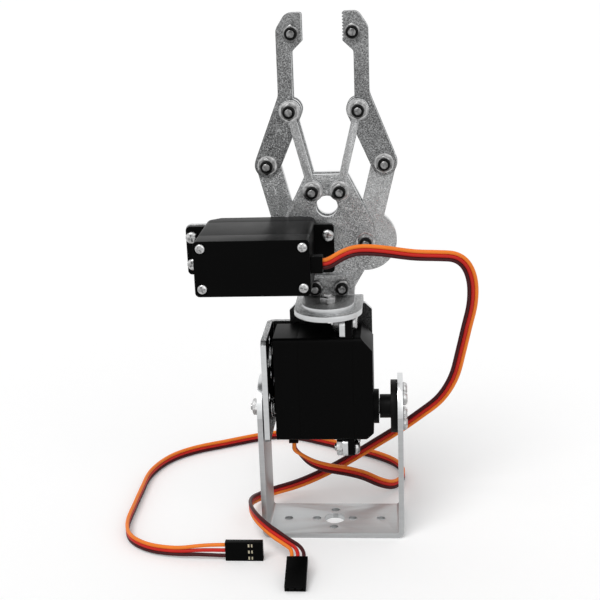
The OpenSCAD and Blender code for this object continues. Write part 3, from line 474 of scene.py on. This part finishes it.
def solids(node):
    """The separate solids of a CAD node, each as a list of points in mm."""
    bm = joined(node)
    seen, found = set(), []
    for start in bm.verts:
        if start in seen:
            continue
        seen.add(start)
        todo, points = [start], []
        while todo:
            v = todo.pop()
            points.append(v.co / MM)
            for e in v.link_edges:
                other = e.other_vert(v)
                if other not in seen:
                    seen.add(other)
                    todo.append(other)
        found.append(points)
    bm.free()
    return found


def extent(points):
    low = Vector([min(p[k] for p in points) for k in range(3)])
    high = Vector([max(p[k] for p in points) for k in range(3)])
    return low, high


# ---------------------------------------------------------------- screws and nuts
THREAD_PITCH, THREAD_DEPTH = 0.5, 0.16
RECESS_ARM, RECESS_WIDE, RECESS_FLOOR = 0.6, 0.15, 0.1      # shares of the head's radius and height
AT_END = 0.05                                               # mm within which a point lies at an end


def screw_shape(head, height, shank, length):
    """A pan head with a cross recess on a threaded shank; the head rests on z = 0 and looks to +Z."""
    profile = [(0, height), (head * 0.45, height), (head * 0.72, height * 0.93), (head * 0.9, height * 0.7),
               (head, height * 0.36), (head, height * 0.1), (head * 0.96, 0), (shank, 0)]
    turns = int((length - 0.5) / THREAD_PITCH)
    for i in range(turns):
        z = -0.2 - i * THREAD_PITCH
        profile += [(shank, z), (shank - THREAD_DEPTH, z - THREAD_PITCH * 0.5)]
    profile += [(shank - THREAD_DEPTH, -length + 0.15), (shank - 0.35, -length), (0, -length)]
    arm, wide, floor = head * RECESS_ARM, head * RECESS_WIDE, height * RECESS_FLOOR
    cross = [("DIFFERENCE", prism(points, floor, height + 1)) for points in (
        [(-arm, -wide), (arm, -wide), (arm, wide), (-arm, wide)],
        [(-wide, -arm), (wide, -arm), (wide, arm), (-wide, arm)])]
    return carved(lathe(profile, 32), cross)


def corner_radius(flats):
    return flats / 2 / math.cos(math.pi / 6)


def hexagon(flats):
    corner = corner_radius(flats)
    angles = [math.radians(a) for a in range(0, 360, 60)]
    return [(corner * math.cos(a), corner * math.sin(a)) for a in angles]


def nut_shape(flats, height, bore):
    """A hexagon nut with chamfered corners, from z = 0 up."""
    corner = corner_radius(flats)
    chamfer = lathe([(0, 0), (flats / 2 - 0.1, 0), (corner + 0.05, 0.42), (corner + 0.05, height - 0.42),
                     (flats / 2 - 0.1, height), (0, height)], 48)
    hole = lathe([(0, -1), (bore, -1), (bore, height + 1), (0, height + 1)], 32)
    return carved(prism(hexagon(flats), 0, height), [("INTERSECT", chamfer), ("DIFFERENCE", hole)])


def collar_shape(outer, inner, low, high):
    """The rounded lip of a lock nut with its insert."""
    bm = ring([(inner, low), (outer, low), (outer, high - 0.55), (outer - 0.2, high - 0.16),
               (outer - 0.6, high), (inner + 0.1, high), (inner, high - 0.12)], 40)
    smooth(bm)
    return bm


def place_screws(node, finish="zinc_steel"):
    """Each solid of the node becomes a cross-head screw of its size."""
    groups = {}
    for index, points in enumerate(solids(node)):
        low, high = extent(points)
        size = high - low
        k = max(range(3), key=lambda i: size[i])
        middle = (low + high) / 2
        others = [i for i in range(3) if i != k]

        def radius(p):
            return math.hypot(p[others[0]] - middle[others[0]], p[others[1]] - middle[others[1]])

        head = max(radius(p) for p in points)
        rim = [p[k] for p in points if radius(p) > head * 0.99]
        way = 1 if high[k] - max(rim) < min(rim) - low[k] else -1
        outer, seat = (high[k], min(rim)) if way > 0 else (low[k], max(rim))
        tip = low[k] if way > 0 else high[k]
        shank = max(radius(p) for p in points if abs(p[k] - tip) < AT_END)
        key = tuple(round(v, 2) for v in (head, abs(outer - seat), shank, abs(seat - tip)))
        place, axis = middle.copy(), Vector((0, 0, 0))
        place[k], axis[k] = seat, way
        groups.setdefault(key, []).append((place * MM, aim(axis, 0.5 + 1.3 * index)))
    pieces = [repeated(f"{node}_size_{i}", screw_shape(*key), spots, finish)
              for i, (key, spots) in enumerate(sorted(groups.items()))]
    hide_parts(node)
    for piece in pieces:
        finished(piece, node)


def place_nuts(node, finish="zinc_steel"):
    """Each solid of the node becomes a hexagon nut, with a lock nut's lip where it has one."""
    hexes, lips = {}, {}
    for points in solids(node):
        low, high = extent(points)
        size = high - low
        k = min(range(3), key=lambda i: size[i])
        a, b = [i for i in range(3) if i != k]
        middle = (low + high) / 2

        def radius(p):
            return math.hypot(p[a] - middle[a], p[b] - middle[b])

        wide = [p[k] for p in points if radius(p) > 0.48 * max(size[a], size[b])]
        flats, height = min(size[a], size[b]), max(wide) - min(wide)
        way = 1 if min(wide) - low[k] < high[k] - max(wide) else -1
        seat = min(wide) if way > 0 else max(wide)
        bore = min(radius(p) for p in points)
        axis = Vector((0, 0, 0))
        axis[k] = way
        corner_axis = Vector((0, 0, 0))
        corner_axis[a if size[a] > size[b] else b] = 1
        base = aim(axis)
        local = base.to_matrix().transposed() @ corner_axis
        turn = aim(axis, math.atan2(local.y, local.x))
        place = middle.copy()
        place[k] = seat
        key = (round(flats, 2), round(height, 2), round(bore, 2), size[k] > height + 0.3)
        hexes.setdefault(key, []).append((place * MM, turn))
        if key[3]:
            end = high[k] if way > 0 else low[k]
            lip = max(radius(p) for p in points if abs(p[k] - end) < AT_END)
            lip_key = (round(lip, 2), key[2], key[1] - 0.05, round(size[k], 2))
            lips.setdefault(lip_key, []).append((place * MM, turn))
    pieces = [repeated(f"{node}_hex_{i}", nut_shape(*key[:3]), spots, finish if key[3] else "zinc_steel")
              for i, (key, spots) in enumerate(sorted(hexes.items()))]
    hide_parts(node)
    pieces += [repeated(f"{node}_lip_{i}", collar_shape(*key), spots, "nylon") for i, (key, spots) in
               enumerate(sorted(lips.items()))]
    for piece in pieces:
        finished(piece, node)


# ---------------------------------------------------------------- bracket, plugs
BRACKET_SHEET, PANEL_TOP, ON_PLANE = 2, 80, 0.3


def shade_bracket(piece):
    """The bracket's faces towards the black servo take a near-black finish: painted shade beside the servo.
    """
    piece.data.materials.append(FINISH["painted_shade_aluminium"])
    panel = min(v.co.y for v in NODES["l_bracket"].data.vertices if v.co.z < PANEL_TOP * MM)
    panel -= BRACKET_SHEET * MM
    flange = min(v.co.x for v in piece.data.vertices) + BRACKET_SHEET * MM
    for face in piece.data.polygons:
        front = face.normal.y < -0.8 and abs(face.center.y - panel) < ON_PLANE * MM
        side = face.normal.x > 0.8 and abs(face.center.x - flange) < ON_PLANE * MM
        # these panel and flange faces take the painted shade
        if front or side:
            face.material_index = 2


PLUG_THICK, CONTACT_PITCH, WINDOW_PROUD = 2.5, 2.54, 0.03
# a window and its two strips of contact: start, length, depth, width, lift and which finish
WINDOW = ((8.2, 2.4, 0.3, 1.5, -0.02, 0), (8.5, 0.7, 0.35, 1.3, 0.05, 1), (9.7, 0.6, 0.35, 1.3, 0.05, 1))


def make_plug(which, turn, end):
    """The plug's housing with a window over each contact; turn and end place it as the CAD solid."""
    plug = edged(f"{which}_plug", 0.25)
    place = Matrix.Translation(mm(*end)) @ turn.to_matrix().to_4x4()
    face, side = ("lower", -1) if which == "claw" else ("upper", 1)
    bm = bmesh.new()
    for k in (-1, 0, 1):
        for x, length, rise, width, lift, slot in WINDOW:
            made = bmesh.ops.create_cube(bm, size=1)["verts"]
            height = side * (PLUG_THICK / 2 + lift - rise / 2 + WINDOW_PROUD)
            shape = (Matrix.Translation(mm(x + length / 2, k * CONTACT_PITCH, height))
                     @ Matrix.Diagonal(mm(length, width, rise)).to_4x4())
            bmesh.ops.transform(bm, matrix=place @ shape, verts=made)
            for corner in made:
                for f in corner.link_faces:
                    f.material_index = slot
    bmesh.ops.bevel(bm, geom=bm.edges[:], offset=0.06 * MM, segments=1, affect="EDGES")
    windows = from_bmesh(f"{which}_plug_{face}_windows", bm, "horn_plastic", "contact")
    finished(windows, f"{which}_plug")
    return plug


# ---------------------------------------------------------------- ribbon leads
WIRE, WIRES = 1.4, ("orange", "red", "brown")
RIBBON_PITCH, PLUG_PITCH, WIRE_SIDES = 1.34, 2.2, 14


def spline(points, steps):
    """A smooth curve through the points, with steps parts to each stretch."""
    out = []
    for i in range(len(points) - 1):
        p0, p1, p2, p3 = (Vector(points[max(0, min(len(points) - 1, i + k))]) for k in (-1, 0, 1, 2))
        for s in range(steps):
            t = s / steps
            out.append(0.5 * (2 * p1 + (p2 - p0) * t + (2 * p0 - 5 * p1 + 4 * p2 - p3) * t ** 2
                              + (3 * p1 - p0 - 3 * p2 + p3) * t ** 3))
    out.append(Vector(points[-1]))
    return out


def make_ribbon(name, route, fan, steps=7):
    """Three wires side by side on a route of [x, y, z, wx, wy, wz]; w points to the orange wire.

    Over the last fan millimetres they part to the pitch of the plug's contacts."""
    line = spline([p[:3] for p in route], steps)
    wide = spline([p[3:] for p in route], steps)
    for _ in range(3):
        line = [line[0]] + [(a + 2 * b + c) / 4 for a, b, c in zip(line, line[1:], line[2:])] + [line[-1]]
    left = [0.0]
    for a, b in zip(line[::-1], line[-2::-1]):
        left.insert(0, left[0] + (b - a).length)
    bm = bmesh.new()
    rings = [[], [], []]
    for i, p in enumerate(line):
        t = (line[min(i + 1, len(line) - 1)] - line[max(i - 1, 0)]).normalized()
        w = (wide[i] - t * wide[i].dot(t)).normalized()
        n = t.cross(w)
        part = max(0.0, 1 - left[i] / fan)
        pitch = RIBBON_PITCH + (PLUG_PITCH - RIBBON_PITCH) * part * part * (3 - 2 * part)
        for k in range(3):
            centre = p + w * (1 - k) * pitch
            rings[k].append([bm.verts.new((centre + (w * math.cos(a) + n * math.sin(a)) * WIRE / 2) * MM)
                             for a in (2 * math.pi * j / WIRE_SIDES for j in range(WIRE_SIDES))])
    for k, loops in enumerate(rings):
        for low, high in zip(loops, loops[1:]):
            for i in range(WIRE_SIDES):
                j = (i + 1) % WIRE_SIDES
                bm.faces.new([low[i], low[j], high[j], high[i]]).material_index = k
        bm.faces.new(loops[0][::-1]).material_index = k
        bm.faces.new(loops[-1]).material_index = k
    bmesh.ops.recalc_face_normals(bm, faces=bm.faces)
    smooth(bm, 60)
    return from_bmesh(name, bm, *WIRES), [list(p * MM) for p in line]


CLAW_ROUTE = [
    (-0.8, -22.75, 111, 0, 0, 1), (1.15, -22.75, 111, 0, 0, 1),
    (3.4, -22.9, 112, 0, 0, 1), (7, -22.6, 114, 0, 0, 1),
    (12, -22, 115.4, 0, 0, 1), (19.5, -20, 114.6, 0, 0, 1), (31, -16.5, 112, 0, 0, 1),
    (40, -13.5, 110.8, 0.1, 0, 1), (46, -11.5, 109.6, 0.5, 0, 1), (50, -9.5, 105.8, 1, 0, 0.8),
    (52.2, -7, 99, 1, 0, 0.2), (52.4, -3, 89.7, 1, 0, 0), (50.8, 1, 80, 1, 0, -0.1),
    (48.8, 6, 68, 1, 0, -0.2), (46.5, 10.5, 56.5, 1, 0, -0.5), (41.5, 14, 46.5, 0.9, 0, -0.9),
    (34, 16.8, 39, 0.8, 0, -1), (25, 19.8, 31, 0.6, 0, -1), (15, 22, 23.5, 0.5, 0, -1),
    (4, 24, 15.5, 0.4, 0, -1), (-7, 24.8, 9, 0.3, 0, -1), (-17, 24.6, 4.6, 0.1, 0, -1),
    (-26, 22, 2.9, 0, 0, -1), (-31.6, 15, 3.6, 0, 0, -1), (-33.2, 5, 6.6, 0, 0, -1),
    (-32, -6, 9.2, 0, 0, -1), (-28.6, -15.5, 10, -0.2, 0, -1), (-23, -23, 9, -0.5, 0, -0.8),
    (-16.8, -29, 7.8, -1, -0.6, -0.4), (-12.8, -33.4, 7.5, -1, -0.3, 0),
    (-11.5, -36.6, 6.7, -1, 0, 0), (-11.5, -38.5, 6, -1, 0, 0)]
TILT_ROUTE = [
    (-14.7, 0, 35.8, 0, -1, 0), (-14.7, 0, 33.85, 0, -1, 0),
    (-14.6, 0.3, 31.5, 0, -1, 0.1), (-12.6, 2, 28.4, 0.2, -0.9, 0.4),
    (-8.5, 5, 23.4, 0.3, -0.5, 0.8), (-3, 9.2, 19.2, 0, -0.2, 1), (4, 14, 15.6, 0, 0, 1),
    (11, 18.8, 11.4, 0, 0, 1), (17.5, 23.2, 6.2, 0, 0, 1), (22.8, 28, 2.9, 0, 0, 1),
    (26.4, 35, 2.3, 0, 0, 1), (26.8, 43, 2.3, 0, 0, 1), (23, 51.5, 2.3, 0, 0, 1),
    (14, 59.5, 2.3, 0, 0, 1), (2, 67, 2.3, 0, 0, 1), (-10, 74, 2.3, 0, 0, 1),
    (-21, 79.6, 2.3, 0, 0, 1), (-31, 80.8, 2.3, 0, 0, 1), (-41, 77, 2.3, 0, 0, 1),
    (-53, 70.8, 2.3, 0, 0, 1), (-66, 64, 2.3, 0, 0, 1), (-75.5, 54.5, 2.3, 0, 0, 1),
    (-81, 40, 2.3, 0, 0, 1), (-81.5, 24, 2.3, 0, 0, 1), (-81.4, 8, 2.3, 0, 0, 1),
    (-81, -6, 2.3, 0, 0, 1), (-77.5, -17, 2.3, 0, 0, 1), (-69, -24.5, 2.4, 0, 0, 1),
    (-58, -28, 2.8, 0, 0, 1), (-48, -29, 3.8, 0, 0, 1), (-39, -29, 3.8, 0, 0, 1)]


TIPPED = Euler((0, 0, -math.pi / 2)).to_quaternion() @ Euler((0, math.radians(20), 0)).to_quaternion()
ON_EDGE = Euler((math.pi / 2, 0, 0)).to_quaternion()
# route, the plug's turn, length in m, mm over which the wires part, and mm between which the lead bends
LEADS = (("claw", CLAW_ROUTE, TIPPED, 0.28, 13, 18, 105), ("tilt", TILT_ROUTE, ON_EDGE, 0.318, 20, 5, 33))


def make_leads():
    for which, route, turn, length, fan, low, high in LEADS:
        lead, path = make_ribbon(f"{which}_lead_ribbon", route, fan)
        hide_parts(f"{which}_lead")
        plug = make_plug(which, turn, route[-1][:3])
        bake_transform(lead, "base", "tilt_head", start=(0, 0, low * MM), end=(0, 0, high * MM))


# ---------------------------------------------------------------- surroundings
AMBIENT, BACKDROP = 0.6, 1.0                        # the world's level as light, and as it is seen
LAMPS = (("key", (28, -18, 0), 1.15, 30), ("fill", (62, 30, 20), 0.35, 50))     # turn, strength, spread
FLOOR_RADIUS, FLOOR_TOP, FLOOR_BOTTOM = 9000, -0.02, -2
FLOOR_GLOW = 0.06                                   # brings the seen floor up to the backdrop's white


def make_surroundings():
    world = bpy.data.worlds.new("studio")
    bpy.context.scene.world = world
    world.use_nodes = True
    nodes, links = world.node_tree.nodes, world.node_tree.links
    back = nodes["Background"]
    path = nodes.new("ShaderNodeLightPath")
    seen = path.outputs["Is Camera Ray"]
    for ray in ("Is Glossy Ray", "Is Transmission Ray"):
        either = nodes.new("ShaderNodeMath")
        either.operation = "MAXIMUM"
        links.new(seen, either.inputs[0])
        links.new(path.outputs[ray], either.inputs[1])
        seen = either.outputs[0]
    level = nodes.new("ShaderNodeMapRange")
    level.inputs["To Min"].default_value = AMBIENT
    level.inputs["To Max"].default_value = BACKDROP
    links.new(seen, level.inputs["Value"])
    back.inputs["Color"].default_value = (1, 1, 1, 1)
    links.new(level.outputs["Result"], back.inputs["Strength"])
    for name, turn, strength, spread in LAMPS:
        lamp = bpy.data.lights.new(name, "SUN")
        lamp.energy, lamp.angle = strength, math.radians(spread)
        sun = bpy.data.objects.new(name, lamp)
        sun.rotation_euler = [math.radians(a) for a in turn]
        bpy.context.scene.collection.objects.link(sun)
    bm = lathe([(0, FLOOR_BOTTOM), (FLOOR_RADIUS, FLOOR_BOTTOM), (FLOOR_RADIUS, FLOOR_TOP),
                (0, FLOOR_TOP)], 64)
    floor = from_bmesh("floor", bm)
    dull = {"Specular IOR Level": 0.0, "Emission Strength": 1.0}
    look = Look("floor", grey(0.9), 0.0, 0.9, **dull)
    camera = look.node("ShaderNodeLightPath", [], "Is Camera Ray")
    look.feed("Base Color", look.mix(camera, grey(0.8), grey(1.0)))
    look.feed("Emission Color", look.mix(camera, grey(0.0), grey(FLOOR_GLOW)))
    floor.data.materials.append(look.material)


# ---------------------------------------------------------------- the whole object
# edge radius in mm, finish and the sheet's thickness in mm
SHEET = {
    "u_bracket": (0.3, "bright_aluminium", 2), "servo_bracket": (0.25, "blasted_aluminium", 2),
    "l_bracket": (0.25, "blasted_aluminium", 2), "claw_foot": (0.25, "foot_painted_shade_aluminium", 2),
    "front_plate": (0.22, "blasted_aluminium", 2), "back_plate": (0.22, "blasted_aluminium", 2),
    "left_gear_arm": (0.18, "blasted_aluminium", 3), "right_gear_arm": (0.18, "fine_aluminium", 3),
    "left_links": (0.2, "fine_aluminium", 1.5), "right_links": (0.2, "fine_aluminium", 1.5),
    "left_finger": (0.2, "finger_aluminium", 2), "right_finger": (0.2, "finger_aluminium", 2),
}
# edge radius in mm
TURNED = {
    "plate_spacers": 0.2, "servo_pillars": 0.15, "plate_washers": 0.12, "left_finger_spacers": 0.12,
    "right_finger_spacers": 0.12, "pivot_washer": 0.12, "pivot_bearing_outer": 0.1, "tilt_horn": 0.25,
    "claw_horn": 0.25,
}
SHELLS = {"cover": 0.35, "case": 0.3, "top": 0.45, "relief": 0.3}
SCREWS = ("tilt_horn_screws", "head_screws", "pivot_bolt", "plate_bolts", "pillar_screws",
          "tilt_servo_screws", "claw_servo_screws", "claw_horn_screws", "left_finger_bolts",
          "right_finger_bolts")
# these bolts take the darker steel with painted shade
CLAW_BOLTS = ("plate_bolts", "left_finger_bolts", "right_finger_bolts")
NUTS = {"plate_nuts": "dark_steel", "head_nuts": "zinc_steel", "pivot_nut": "dark_steel",
        "left_finger_nuts": "dark_steel", "right_finger_nuts": "dark_steel"}

make_camera()
make_leads()
for node, (width, finish, sheet) in SHEET.items():
    piece = edged(node, width, finish, sheet=sheet)
    if node == "servo_bracket":
        shade_bracket(piece)
for node, width in TURNED.items():
    edged(node, width)
for servo in ("tilt_servo", "claw_servo"):
    for shell, width in SHELLS.items():
        edged(f"{servo}_{shell}", width, segments=3)
for node in SCREWS:
    place_screws(node, "bolt_painted_shade_steel" if node in CLAW_BOLTS else "zinc_steel")
for node, finish in NUTS.items():
    place_nuts(node, finish)
for node, shown in NODES.items():
    shown.data.materials.clear()
    shown.data.materials.append(FINISH["dark_steel" if node.endswith("_shaft") else SLOT[node]])
make_surroundings()
bpy.context.scene.view_settings.view_transform = "Standard"
